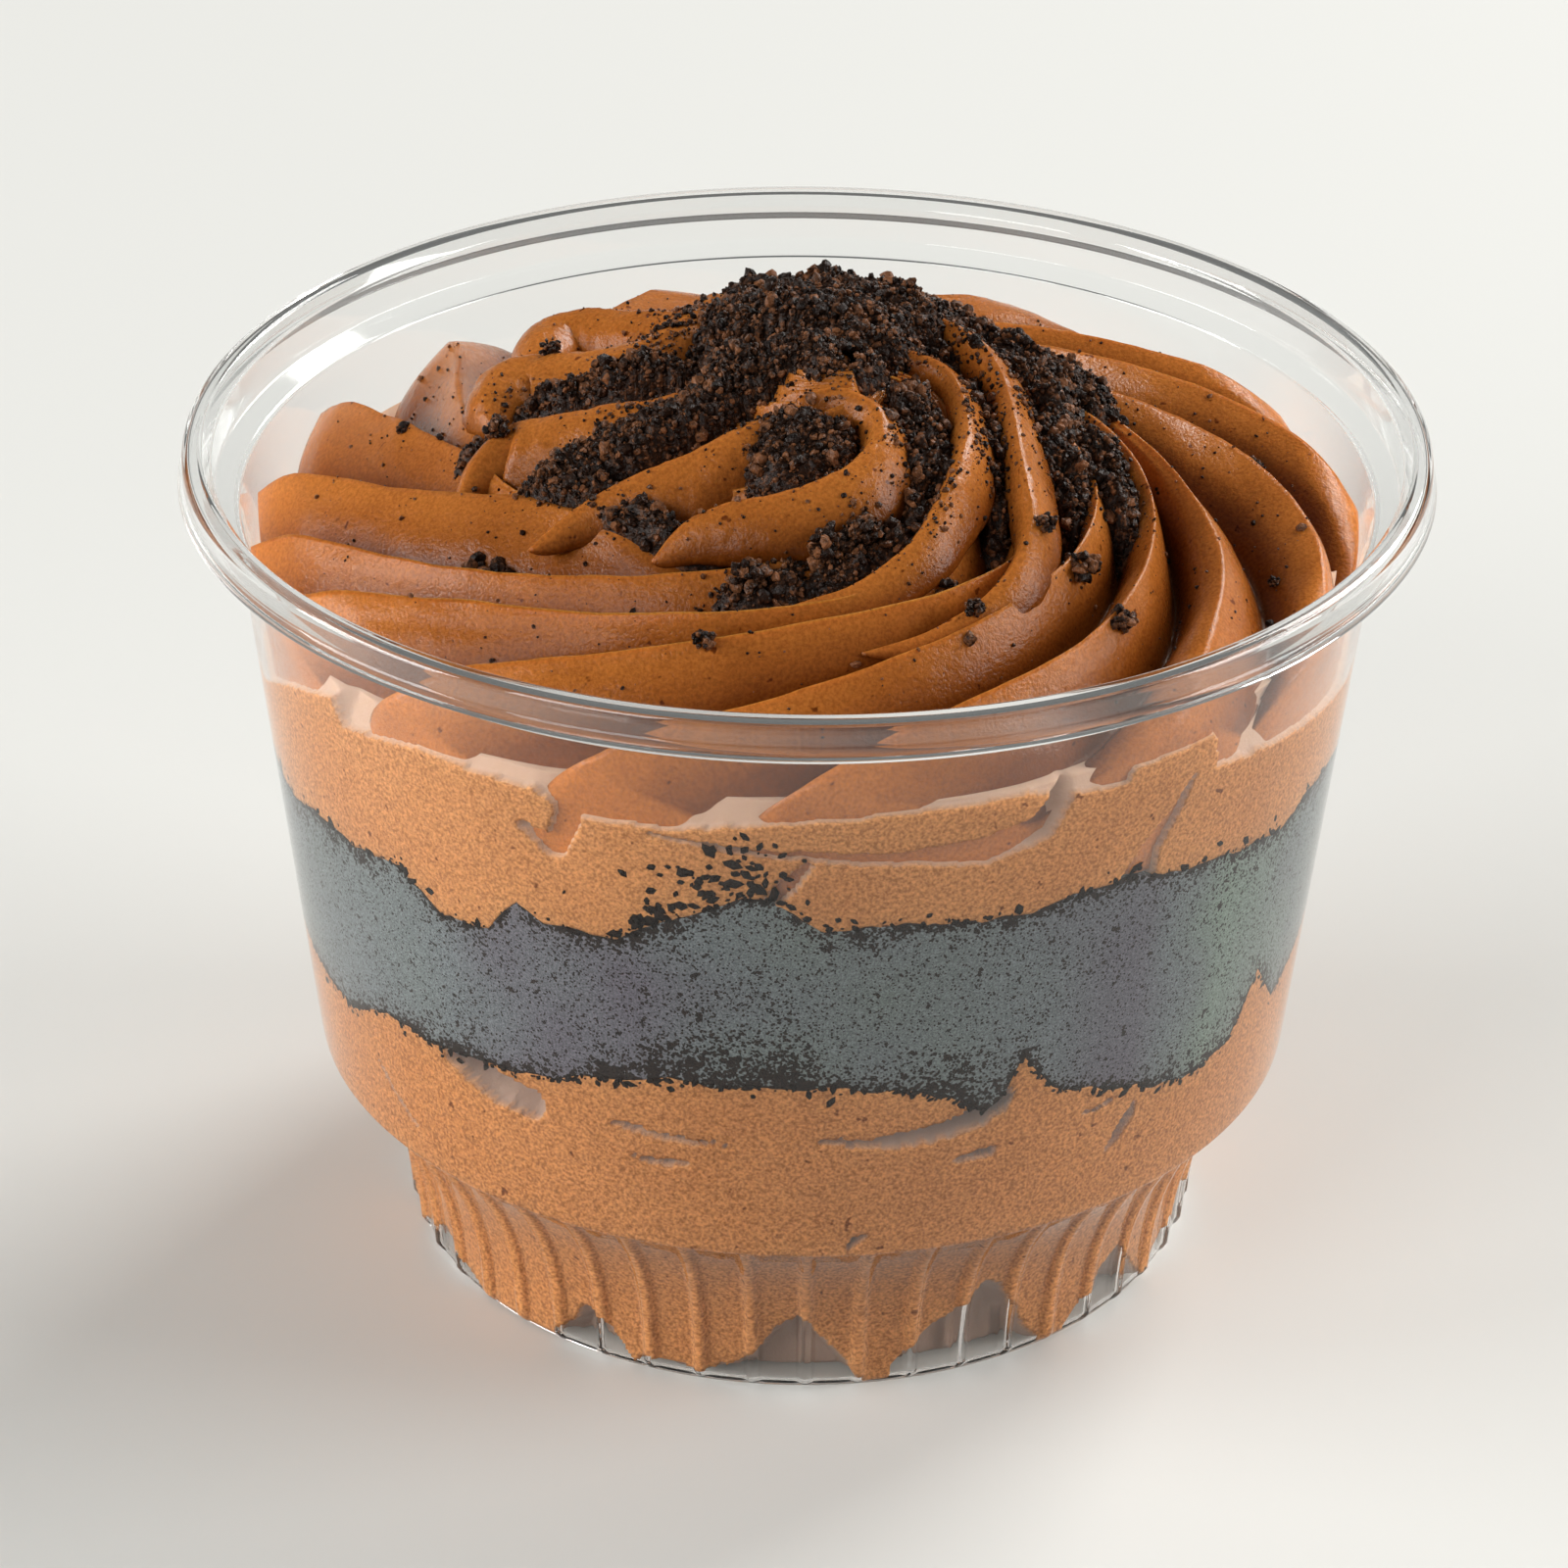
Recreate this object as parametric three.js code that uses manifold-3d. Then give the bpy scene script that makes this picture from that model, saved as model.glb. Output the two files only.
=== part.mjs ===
// Layered chocolate mousse in a clear dessert cup: mousse, biscuit crumbs, and a piped mousse swirl.
// Millimetres, +Z up. The origin is the centre of the cup's base, which stands on the table.
import * as THREE from "three";
import { mergeVertices } from "three/addons/utils/BufferGeometryUtils.js";
import Module from "manifold-3d";

const wasm = await Module();
wasm.setup();

// Cup: a thin moulded sheet, round, with a fluted foot, a tapered bowl and a rolled rim.
const cupHeight = 69.3;
const wall = 0.6;
const footRadius = 31.9;
const footDraft = 0.07;
const footFlare = 5.2;
const creaseHeight = 17.4;
const bowlBottomRadius = 39.6;
const bowlTopRadius = 45.25;
const ledgeHeight = 64.3;
const ledgeStep = 0.5;
const skirtRadius = 47.3;
const skirtRound = 1.2;
const lipRadius = 49.5;
const lipDrop = 2.1;
const lipRound = 1;
const lipEdge = 0.55;
const baseChamfer = 1.1;
const ribCount = 48;
const ribWidth = 1;
const ribProud = 0.5;
const ribRoot = 0.3;
const ribPhase = 271;
const cupSegments = 48;

// Contents: every layer stays this far from the cup and from the next layer.
const gap = 0.3;
const lowerLevel = 31;
const crumbLevel = 47.5;
const contactLevel = 55.5;
const contactTilt = 3.5;
const contactNotch = 3;

// Waves of the layers' edges round the wall: how many, how high, and the angle of a top.
const lowerWaves = [[1, 2.4, 265], [5, 1.1, 18], [9, 0.8, 0]];
const crumbWaves = [[1, 1.6, 280], [4, 1.2, 8], [9, 0.9, 0]];
const archWaves = [[1, 4, 290], [12, 5.5, 268]];
const archSink = 1.5;
const archSlope = 0.7;

// Swirl: ridges that leave the wall and wind inwards to an eye in front of the middle.
const swirlRadius = 43.2;
const crestTop = 80;
const crestEdge = 64;
const crestCurve = 0.83;
const edgeDrop = 1.6;
const edgeWidth = 4;
const ridgeDepth = 4;
const ridgeFade = 14;
const eye = [3.4, -9.2];
const eyeDrift = 0.8;
const eyeRadius = 2.2;
const eyeDip = 0.5;
const swirlSteps = 23;
const stepCurve = 1.25;
const midRadius = 25;
const innerRadius = 9;
const innerStart = 301;
const ridgeAtWall = [134, 156, 175, 186, 197, 218, 239, 266, 307, 334, 355, 380, 418, 462];
const ridgeAtMid = [175, 190, 208, 243, 269, 290, 319, 348, 368, 405, 445, 463, 487, 513];

// Across one ridge: share of the way from its crest out to the next crest, and share of its height.
const ridgeShape = [[0, 1], [0.14, 0.86], [0.34, 0.45], [0.56, 0], [0.85, 0.42]];
const valleyColumn = 3;

// Loose crumbs: a bumpy heap behind the eye that nearly fills the valleys it covers, and single clumps.
const heapHeight = 6;
const heapRadius = 13;
const heapCentre = [-2, 8];
const heapBump = 0.5;
const heapFill = 0.8;
const clumpCount = 34;
const clumpSmallest = 0.9;
const clumpLargest = 1.7;
const clumpNearest = 6;
const clumpFarthest = 38;
const clumpProud = 0.35;
const clumpSeed = 11;

const degree = Math.PI / 180;
const turn = 2 * Math.PI;
const contentColumns = ridgeAtWall.length * ridgeShape.length;

function makeMaterial(color, roughness, opacity = 1) {
  return new THREE.MeshStandardMaterial({
    color, roughness, metalness: 0, opacity, transparent: opacity < 1,
  });
}

const clearPlastic = makeMaterial(0xeef2f0, 0.06, 0.25);
const mousse = makeMaterial(0xa9703f, 0.55);
const lowerMousse = makeMaterial(0xb07a4a, 0.6);
const crumb = makeMaterial(0x2a1b17, 0.85);

function footOutside(z) {
  return footRadius + footDraft * z + footFlare * (z / creaseHeight) ** 3;
}

function bowlOutside(z) {
  const share = (z - creaseHeight) / (ledgeHeight - creaseHeight);
  return bowlBottomRadius + share * (bowlTopRadius - bowlBottomRadius);
}

function cupInside(z) {
  return (z < creaseHeight ? footOutside(z) : bowlOutside(z)) - wall;
}

// Heights at which the foot's curve has a point, shared by the cup and by the mousse inside it.
const footHeights = [1.2, 7.5, 12.8, 17.2];
const creaseTop = creaseHeight + 0.5;

function cupProfile() {
  const skirtInside = skirtRadius - wall;
  const points = [[0, 0], [footRadius - baseChamfer, 0]];
  for (const z of footHeights) points.push([footOutside(z), z]);
  points.push([bowlBottomRadius, creaseHeight], [bowlBottomRadius, creaseTop]);
  points.push([bowlOutside(ledgeHeight), ledgeHeight]);
  // The stacking ledge, the skirt and the underside of the rolled rim.
  points.push([skirtRadius, ledgeHeight + ledgeStep], [skirtRadius, cupHeight - skirtRound]);
  points.push([skirtRadius + wall, cupHeight - wall], [lipRadius - lipRound, cupHeight - wall]);
  points.push([lipRadius - lipEdge, cupHeight - lipDrop], [lipRadius, cupHeight - lipDrop]);
  // The top of the rim and the inside of the cup, back down to the floor.
  points.push([lipRadius - lipRound / 4, cupHeight - wall], [lipRadius - lipRound, cupHeight]);
  points.push([skirtRadius + wall / 2, cupHeight], [skirtInside, cupHeight - lipRound]);
  points.push([skirtInside, ledgeHeight + ledgeStep + wall], [cupInside(ledgeHeight), ledgeHeight + wall]);
  points.push([cupInside(creaseTop), creaseTop]);
  for (const z of [...footHeights].reverse()) points.push([footOutside(z) - wall, z]);
  points.push([footRadius - baseChamfer - wall, wall], [0, wall]);
  return points.map(([r, z]) => new THREE.Vector2(r, z));
}

// LatheGeometry turns round Y, so its result is stood up on Z.
function latheUp(profile, segments) {
  return new THREE.LatheGeometry(profile, segments).rotateX(Math.PI / 2);
}

function toManifold(geometry) {
  const bare = geometry.clone();
  bare.deleteAttribute("normal");
  bare.deleteAttribute("uv");
  const merged = mergeVertices(bare, 1e-4);
  const vertProperties = new Float32Array(merged.attributes.position.array);
  const triVerts = new Uint32Array(merged.index.array);
  return new wasm.Manifold(new wasm.Mesh({ numProp: 3, vertProperties, triVerts }));
}

function toGeometry(solid) {
  const mesh = solid.getMesh();
  const geometry = new THREE.BufferGeometry();
  geometry.setAttribute("position", new THREE.BufferAttribute(mesh.vertProperties, 3));
  geometry.setIndex(new THREE.BufferAttribute(mesh.triVerts, 1));
  return geometry;
}

// One rib is a thin fin that follows the foot's curve and dies into the crease above it.
function ribGeometry(angle) {
  const heights = footHeights.slice(0, -1);
  const outline = new THREE.Shape();
  outline.moveTo(footOutside(heights[0]) - ribRoot, heights[0] - ribProud);
  for (const z of heights) outline.lineTo(footOutside(z) + ribProud, z);
  outline.lineTo(bowlBottomRadius - ribRoot, creaseHeight - wall / 4);
  outline.lineTo(footOutside(heights.at(-1)) - ribRoot, heights.at(-1));
  outline.lineTo(footOutside(heights[1]) - ribRoot, heights[1]);
  const fin = new THREE.ExtrudeGeometry(outline, { depth: ribWidth, bevelEnabled: false });
  fin.translate(0, 0, -ribWidth / 2).rotateX(Math.PI / 2).rotateZ(angle);
  return fin;
}

function makeCup() {
  let solid = toManifold(latheUp(cupProfile(), cupSegments));
  for (let i = 0; i < ribCount; i += 1) {
    const angle = (ribPhase + (i * 360) / ribCount) * degree;
    solid = solid.add(toManifold(ribGeometry(angle)));
  }
  return toGeometry(solid);
}

// A closed solid from rings of equal length that run from a bottom centre, out, up, and in to a top centre.
function solidFromRings(bottom, rings, top) {
  const count = rings[0].length;
  const points = [bottom, ...rings.flat(), top];
  const faces = [];
  const at = (ring, column) => 1 + ring * count + (column % count);
  for (let i = 0; i < count; i += 1) {
    faces.push(0, at(0, i + 1), at(0, i));
    faces.push(points.length - 1, at(rings.length - 1, i), at(rings.length - 1, i + 1));
    for (let ring = 0; ring < rings.length - 1; ring += 1) {
      faces.push(at(ring, i), at(ring, i + 1), at(ring + 1, i + 1));
      faces.push(at(ring, i), at(ring + 1, i + 1), at(ring + 1, i));
    }
  }
  const geometry = new THREE.BufferGeometry();
  geometry.setAttribute("position", new THREE.Float32BufferAttribute(points.flat(), 3));
  geometry.setIndex(faces);
  return geometry;
}

// Angle of a ridge's crest at a radius: a smooth curve through its angles at three radii.
function ridgeAngle(index, radius) {
  const count = ridgeAtWall.length;
  const ridge = index % count;
  const turns = 360 * Math.floor(index / count);
  const mid = Math.log(bowlTopRadius / midRadius);
  const inner = Math.log(bowlTopRadius / innerRadius);
  const here = Math.log(bowlTopRadius / Math.min(radius, bowlTopRadius));
  const midSlope = (ridgeAtMid[ridge] - ridgeAtWall[ridge]) / mid;
  const innerSlope = (innerStart + (ridge * 360) / count - ridgeAtWall[ridge]) / inner;
  const bend = (innerSlope - midSlope) / (inner - mid);
  return turns + ridgeAtWall[ridge] + here * (midSlope + bend * (here - mid));
}

// The columns of the contents follow the ridges, several to each ridge.
function columnAngle(column, radius) {
  const ridge = Math.floor(column / ridgeShape.length);
  const share = ridgeShape[column % ridgeShape.length][0];
  const from = ridgeAngle(ridge, radius);
  return (from + share * (ridgeAngle(ridge + 1, radius) - from)) * degree;
}

function wallRing(radiusAt, heightAt) {
  const ring = [];
  for (let i = 0; i < contentColumns; i += 1) {
    const angle = columnAngle(i, bowlTopRadius);
    const z = heightAt(angle, i);
    const r = radiusAt(z, angle);
    ring.push([r * Math.cos(angle), r * Math.sin(angle), z]);
  }
  return ring;
}

const insideAt = (z) => cupInside(z) - gap;

function waveSum(waves, angle) {
  let sum = 0;
  for (const [count, height, top] of waves) sum += height * Math.cos(count * (angle - top * degree));
  return sum;
}

// The two layer boundaries are wavy at the wall and flatten towards the middle.
const lowerBoundary = (angle) => lowerLevel + waveSum(lowerWaves, angle);
const crumbBoundary = (angle) => crumbLevel + waveSum(crumbWaves, angle);
const boundaryShares = [0.35, 0.7];

function boundaryRings(boundary, level, lift) {
  const rings = boundaryShares.map((share) => wallRing(
    () => share * insideAt(level),
    (angle) => level + share * (boundary(angle) - level) + lift,
  ));
  rings.push(wallRing(insideAt, (angle) => boundary(angle) + lift));
  return rings;
}

// Low arches where the mousse never ran down to the corner of the foot, as deep as they are high.
function archDepth(z, angle) {
  return archSlope * Math.max(0, waveSum(archWaves, angle) - archSink - z);
}

function makeLowerMousse() {
  const floor = wall + gap;
  const corner = footRadius - baseChamfer - wall - 2 * gap;
  const rings = [wallRing((z, angle) => corner - archDepth(z, angle), () => floor)];
  for (const z of footHeights) {
    rings.push(wallRing((level, angle) => insideAt(level) - archDepth(level, angle), () => z));
  }
  rings.push(wallRing(insideAt, () => creaseTop));
  rings.push(...boundaryRings(lowerBoundary, lowerLevel, -gap / 2).reverse());
  return solidFromRings([0, 0, floor], rings, [0, 0, lowerLevel - gap / 2]);
}

function makeCrumbLayer() {
  const rings = [
    ...boundaryRings(lowerBoundary, lowerLevel, gap / 2),
    ...boundaryRings(crumbBoundary, crumbLevel, -gap / 2).reverse(),
  ];
  return solidFromRings([0, 0, lowerLevel + gap / 2], rings, [0, 0, crumbLevel - gap / 2]);
}

// Height of the ridges' crests: a dome that turns down just before the wall.
function crestHeight(radius) {
  const edge = Math.max(0, 1 - (swirlRadius - radius) / edgeWidth);
  return crestTop - (crestTop - crestEdge) * (radius / swirlRadius) ** crestCurve - edgeDrop * edge ** 2;
}

function heapShare(x, y) {
  return Math.exp(-((Math.hypot(x - heapCentre[0], y - heapCentre[1]) / heapRadius) ** 3));
}

function surfacePoint(column, radius) {
  const angle = columnAngle(column, radius);
  const drift = (1 - radius / swirlRadius) ** eyeDrift;
  const x = eye[0] * drift + radius * Math.cos(angle);
  const y = eye[1] * drift + radius * Math.sin(angle);
  const heap = heapShare(x, y);
  const fall = 1 - ridgeShape[column % ridgeShape.length][1];
  const depth = ridgeDepth * Math.min(1, radius / ridgeFade) * fall;
  const bump = heapBump * Math.sin(column * 2.4 + radius * 3.1);
  return [x, y, crestHeight(radius) - depth * (1 - heapFill * heap) + heap * (heapHeight + bump)];
}

// The swirl's lower edge on the wall, notched between its ridges.
function contactEdge(angle, column) {
  const notch = column % ridgeShape.length === valleyColumn ? contactNotch : 0;
  return contactLevel + contactTilt * Math.cos(angle - 270 * degree) - notch;
}

function makeSwirl() {
  const rings = boundaryRings(crumbBoundary, crumbLevel, gap / 2);
  rings.push(wallRing(insideAt, contactEdge));
  for (let step = 0; step <= swirlSteps; step += 1) {
    const radius = swirlRadius * (eyeRadius / swirlRadius) ** ((step / swirlSteps) ** stepCurve);
    const ring = [];
    for (let i = 0; i < contentColumns; i += 1) ring.push(surfacePoint(i, radius));
    rings.push(ring);
  }
  const top = [...eye, crestHeight(eyeRadius) - eyeDip];
  return solidFromRings([0, 0, crumbLevel + gap / 2], rings, top);
}

// A small repeatable generator of numbers from 0 to 1.
function makeRandom(seed) {
  let state = seed;
  return () => {
    state = (state * 16807) % 2147483647;
    return state / 2147483647;
  };
}

function clumpGeometry(random) {
  const size = clumpSmallest + (clumpLargest - clumpSmallest) * random() ** 2;
  const radius = clumpNearest + (clumpFarthest - clumpNearest) * random();
  const column = Math.floor(random() * contentColumns);
  const [x, y, z] = surfacePoint(column, radius);
  const clump = new THREE.IcosahedronGeometry(size, 0);
  clump.scale(1, 0.8 + 0.3 * random(), 0.75);
  clump.rotateX(turn * random()).rotateY(turn * random()).rotateZ(turn * random());
  clump.translate(x, y, z + clumpProud * size);
  return clump;
}

function makeUpperMousse() {
  const random = makeRandom(clumpSeed);
  let solid = toManifold(makeSwirl());
  for (let i = 0; i < clumpCount; i += 1) solid = solid.add(toManifold(clumpGeometry(random)));
  return toGeometry(solid);
}

function makeMesh(name, geometry, material) {
  const mesh = new THREE.Mesh(geometry, material);
  mesh.name = name;
  return mesh;
}

const group = new THREE.Group();
group.add(makeMesh("cup", makeCup(), clearPlastic));
group.add(makeMesh("lower_mousse", makeLowerMousse(), lowerMousse));
group.add(makeMesh("crumb_layer", makeCrumbLayer(), crumb));
group.add(makeMesh("upper_mousse", makeUpperMousse(), mousse));

export default group;
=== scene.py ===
import math
from itertools import product

import bpy
import numpy as np
from mathutils import Matrix, Vector
from mathutils.bvhtree import BVHTree


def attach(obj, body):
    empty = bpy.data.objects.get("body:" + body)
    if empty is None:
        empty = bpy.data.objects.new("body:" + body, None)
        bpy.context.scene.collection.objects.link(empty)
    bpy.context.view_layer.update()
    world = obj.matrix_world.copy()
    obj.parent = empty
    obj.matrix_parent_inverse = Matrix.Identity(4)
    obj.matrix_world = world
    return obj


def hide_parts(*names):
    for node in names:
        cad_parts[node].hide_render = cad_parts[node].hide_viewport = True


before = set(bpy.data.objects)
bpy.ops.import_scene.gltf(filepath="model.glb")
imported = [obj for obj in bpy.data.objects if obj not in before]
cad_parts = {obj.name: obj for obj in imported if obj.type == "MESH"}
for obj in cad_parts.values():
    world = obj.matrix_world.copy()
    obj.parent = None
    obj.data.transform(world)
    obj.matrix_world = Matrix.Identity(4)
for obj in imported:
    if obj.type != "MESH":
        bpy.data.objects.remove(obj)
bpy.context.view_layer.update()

mm = 0.001  # sizes below are in millimetres, meshes in metres

# sizes shared by the cup and by what fills it
cup = {
    "height": 69.3, "wall": 0.6, "footRadius": 31.9, "footDraft": 0.07, "footFlare": 5.2,
    "creaseHeight": 17.4, "bowlBottomRadius": 39.6, "bowlTopRadius": 45.25, "ledgeHeight": 64.3,
    "skirtRadius": 47.3, "lipRadius": 49.5, "lipDrop": 3.0, "baseCorner": 1.1,
    "ribCount": 48, "ribProud": 0.5, "ribHalfWidth": 0.46, "ribPhase": 271, "columns": 624,
}


def smoothStep(low, high, x):
    share = np.clip((x - low) / (high - low), 0, 1)
    return share * share * (3 - 2 * share)


def lumps(points, size, seed):  # smooth random bumps from -1 to 1, each about size across
    cells = np.asarray(points, float) / size
    base = np.floor(cells)
    part = cells - base
    part = part * part * (3 - 2 * part)
    base = base.astype(np.int64)
    total = np.zeros(cells.shape[:-1])
    for corner in product((0, 1), repeat=3):
        spot = base + np.array(corner)
        mix = spot[..., 0] * 73856093 ^ spot[..., 1] * 19349663 ^ spot[..., 2] * 83492791 ^ seed * 668265263
        mix = ((mix ^ (mix >> 13)) * 1274126177) & 0x7FFFFFFF
        value = (mix ^ (mix >> 16)) % 65536 / 32767.5 - 1
        weight = np.prod(np.where(np.array(corner) == 1, part, 1 - part), axis=-1)
        total += weight * value
    return total


def onCircle(angle, radius, z):  # angles in degrees
    turn = np.radians(angle)
    return np.stack([radius * np.cos(turn), radius * np.sin(turn), z + 0 * turn], axis=-1)


def aroundWall(points, angle):  # a height read off a closed list of (angle, height)
    angles = np.array([p[0] for p in points], float)
    heights = np.array([p[1] for p in points], float)
    turns = np.append(angles - angles[0], 360)
    return np.interp(np.mod(angle - angles[0], 360), turns, np.append(heights, heights[0]))


def ringFaces(ringCount, columns):  # quads between rings of equal length
    index = np.arange(ringCount * columns).reshape(ringCount, columns)
    low, high = index[:-1], index[1:]
    return np.stack([low, np.roll(low, -1, 1), np.roll(high, -1, 1), high], -1).reshape(-1, 4)


def closedSolid(rings, bottom, top):  # rings run from the bottom centre, out, up and in to the top centre
    ringCount, columns = rings.shape[:2]
    points = np.vstack([rings.reshape(-1, 3), [bottom], [top]])
    faces = ringFaces(ringCount, columns).tolist()
    first = np.arange(columns)
    last = first + (ringCount - 1) * columns
    middle = ringCount * columns
    faces += np.stack([np.full(columns, middle), np.roll(first, -1), first], -1).tolist()
    faces += np.stack([np.full(columns, middle + 1), last, np.roll(last, -1)], -1).tolist()
    return points, faces


def addPiece(name, points, faces, material, stands=(), flat=False):
    mesh = bpy.data.meshes.new(name)
    mesh.from_pydata((np.asarray(points) * mm).tolist(), [], faces)
    mesh.materials.append(material)
    mesh.polygons.foreach_set("use_smooth", [not flat] * len(mesh.polygons))
    mesh.update()
    piece = bpy.data.objects.new(name, mesh)
    bpy.context.scene.collection.objects.link(piece)
    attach(piece, "root")
    for node in stands:
        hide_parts(node)
    print(f"{name}: {len(mesh.polygons)} faces")
    return piece


def storeValues(piece, name, values):  # one value for each point, which the materials read
    piece.data.attributes.new(name, "FLOAT", "POINT").data.foreach_set("value", values)


def newMaterial(name):
    material = bpy.data.materials.new(name)
    material.use_nodes = True
    tree = material.node_tree
    shader = tree.nodes["Principled BSDF"]
    return material, tree, shader


def addNode(tree, kind, **inputs):
    node = tree.nodes.new(kind)
    for key, value in inputs.items():
        node.inputs[key.replace("_", " ")].default_value = value
    return node


def objectNoise(tree, scale, detail, roughness=0.5):  # scale in lumps per metre
    place = tree.nodes.new("ShaderNodeTexCoord")
    noise = addNode(tree, "ShaderNodeTexNoise", Scale=scale, Detail=detail, Roughness=roughness)
    tree.links.new(place.outputs["Object"], noise.inputs["Vector"])
    return noise


def colourRamp(tree, factor, stops):
    ramp = tree.nodes.new("ShaderNodeValToRGB")
    while len(ramp.color_ramp.elements) < len(stops):
        ramp.color_ramp.elements.new(0.5)
    for element, (place, colour) in zip(ramp.color_ramp.elements, stops):
        element.position = place
        element.color = (*colour, 1)
    tree.links.new(factor, ramp.inputs["Fac"])
    return ramp.outputs["Color"]


def mixColour(tree, kind, factor, first, second):
    mix = tree.nodes.new("ShaderNodeMix")
    mix.data_type = "RGBA"
    mix.blend_type = kind
    for socket, value in (("Factor", factor), ("A", first), ("B", second)):
        target = next(s for s in mix.inputs if s.name == socket and (socket == "Factor" or s.type == "RGBA"))
        if isinstance(value, (int, float)):
            target.default_value = value
        elif isinstance(value, tuple):
            target.default_value = (*value, 1)
        else:
            tree.links.new(value, target)
    return next(s for s in mix.outputs if s.type == "RGBA")


def addBump(tree, shader, heights, distance, strength):
    bump = addNode(tree, "ShaderNodeBump", Distance=distance * mm, Strength=strength)
    tree.links.new(heights, bump.inputs["Height"])
    tree.links.new(bump.outputs["Normal"], shader.inputs["Normal"])


def readValue(tree, name):  # a value stored at each point of the mesh
    reader = tree.nodes.new("ShaderNodeAttribute")
    reader.attribute_name = name
    return reader.outputs["Fac"]


def combine(tree, operation, first, second):
    node = tree.nodes.new("ShaderNodeMath")
    node.operation = operation
    for socket, value in zip(node.inputs, (first, second)):
        if isinstance(value, (int, float)):
            socket.default_value = value
        else:
            tree.links.new(value, socket)
    return node.outputs[0]


def mousseMaterial(name, light, dark, roughness, grain, shine, glow, paintedGapLight=None):
    material, tree, shader = newMaterial(name)
    broad = objectNoise(tree, 90, 3)
    fine = objectNoise(tree, 3600, 2, 0.6)
    soft = objectNoise(tree, 700, 2)
    cocoa = objectNoise(tree, 900, 2)
    base = colourRamp(tree, broad.outputs["Fac"], [(0.35, dark), (0.65, light)])
    grains = colourRamp(tree, fine.outputs["Fac"], [
        (0.34, (0.5, 0.42, 0.36)), (0.5, (1, 1, 1)), (0.68, (1.5, 1.55, 1.6))])
    specks = colourRamp(tree, cocoa.outputs["Fac"], [(0.25, (0.4, 0.3, 0.24)), (0.3, (1, 1, 1))])
    colour = mixColour(tree, "MULTIPLY", 1.0, mixColour(tree, "MULTIPLY", grain, base, grains), specks)
    if paintedGapLight:  # painted light: where it stands off the wall the colour turns darker and greyer in the lower hollows and arches for their shade and reflection, and lighter and greyer in the upper band for its reflection
        colour = mixColour(tree, "MIX", readValue(tree, "touch"), paintedGapLight, colour)
    else:  # painted shade: darker by the stored value deep, low between the ridges and under the lobes
        colour = mixColour(tree, "MULTIPLY", readValue(tree, "deep"), colour, (0.4, 0.32, 0.26))
    tree.links.new(colour, shader.inputs["Base Color"])
    shader.inputs["Roughness"].default_value = roughness
    shader.inputs["Subsurface Weight"].default_value = glow
    shader.inputs["Subsurface Radius"].default_value = (1.0, 0.38, 0.14)
    shader.inputs["Subsurface Scale"].default_value = 2.0 * mm
    shader.inputs["Specular IOR Level"].default_value = shine
    softer = combine(tree, "MULTIPLY", soft.outputs["Fac"], 1.6)
    relief = combine(tree, "ADD", fine.outputs["Fac"], softer)
    addBump(tree, shader, relief, 0.09, 0.6)
    return material


def crumbMaterial(name, dark, middle, brown, roughness, shine):
    material, tree, shader = newMaterial(name)
    grain = objectNoise(tree, 2200, 3, 0.65)
    shade = combine(tree, "MULTIPLY", readValue(tree, "shade"), 0.35)
    mixed = combine(tree, "ADD", shade, combine(tree, "MULTIPLY", grain.outputs["Fac"], 0.75))
    colour = colourRamp(tree, mixed, [(0.3, dark), (0.5, middle), (0.74, brown)])
    tree.links.new(colour, shader.inputs["Base Color"])
    shader.inputs["Roughness"].default_value = roughness
    shader.inputs["Specular IOR Level"].default_value = shine
    addBump(tree, shader, grain.outputs["Fac"], 0.25, 0.8)
    return material


def packedMaterial():  # crumbs behind the wall: a painted grey haze, standing in for the wall's reflection over an air gap, broken by dark crumbs where they touch
    material, tree, shader = newMaterial("packedBiscuit")
    spots = objectNoise(tree, 2900, 2, 0.6)
    blots = objectNoise(tree, 1400, 2, 0.6)
    powder = objectNoise(tree, 6500, 1)
    dots = addNode(tree, "ShaderNodeTexVoronoi", Scale=3300)
    place = tree.nodes.new("ShaderNodeTexCoord")
    tree.links.new(place.outputs["Object"], dots.inputs["Vector"])
    # painted reflection: grey haze in place of the wall's reflection over an air gap in front of the crumbs
    paintedHaze = colourRamp(tree, readValue(tree, "tint"), [
        (0.1, (0.125, 0.115, 0.135)), (0.4, (0.15, 0.165, 0.17)),
        (0.6, (0.155, 0.175, 0.17)), (0.9, (0.185, 0.235, 0.19))])
    dust = colourRamp(tree, powder.outputs["Fac"], [
        (0.35, (0.6, 0.6, 0.6)), (0.5, (1, 1, 1)), (0.7, (1.6, 1.6, 1.6))])
    paintedHaze = mixColour(tree, "MULTIPLY", 0.8, paintedHaze, dust)
    darker = colourRamp(tree, powder.outputs["Fac"], [
        (0.4, (0.006, 0.004, 0.003)), (0.65, (0.03, 0.017, 0.013))])
    rounder = combine(tree, "MULTIPLY", dots.outputs["Distance"], 0.45)
    mixed = combine(tree, "ADD", combine(tree, "MULTIPLY", spots.outputs["Fac"], 0.55), rounder)
    touch = readValue(tree, "touch")
    wide = combine(tree, "GREATER_THAN", combine(tree, "SUBTRACT", touch, 0.05), blots.outputs["Fac"])
    touching = combine(tree, "MAXIMUM", wide, combine(tree, "GREATER_THAN", touch, mixed))
    tree.links.new(mixColour(tree, "MIX", touching, paintedHaze, darker), shader.inputs["Base Color"])
    shader.inputs["Roughness"].default_value = 0.7
    shader.inputs["Specular IOR Level"].default_value = 0.12
    return material


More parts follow.
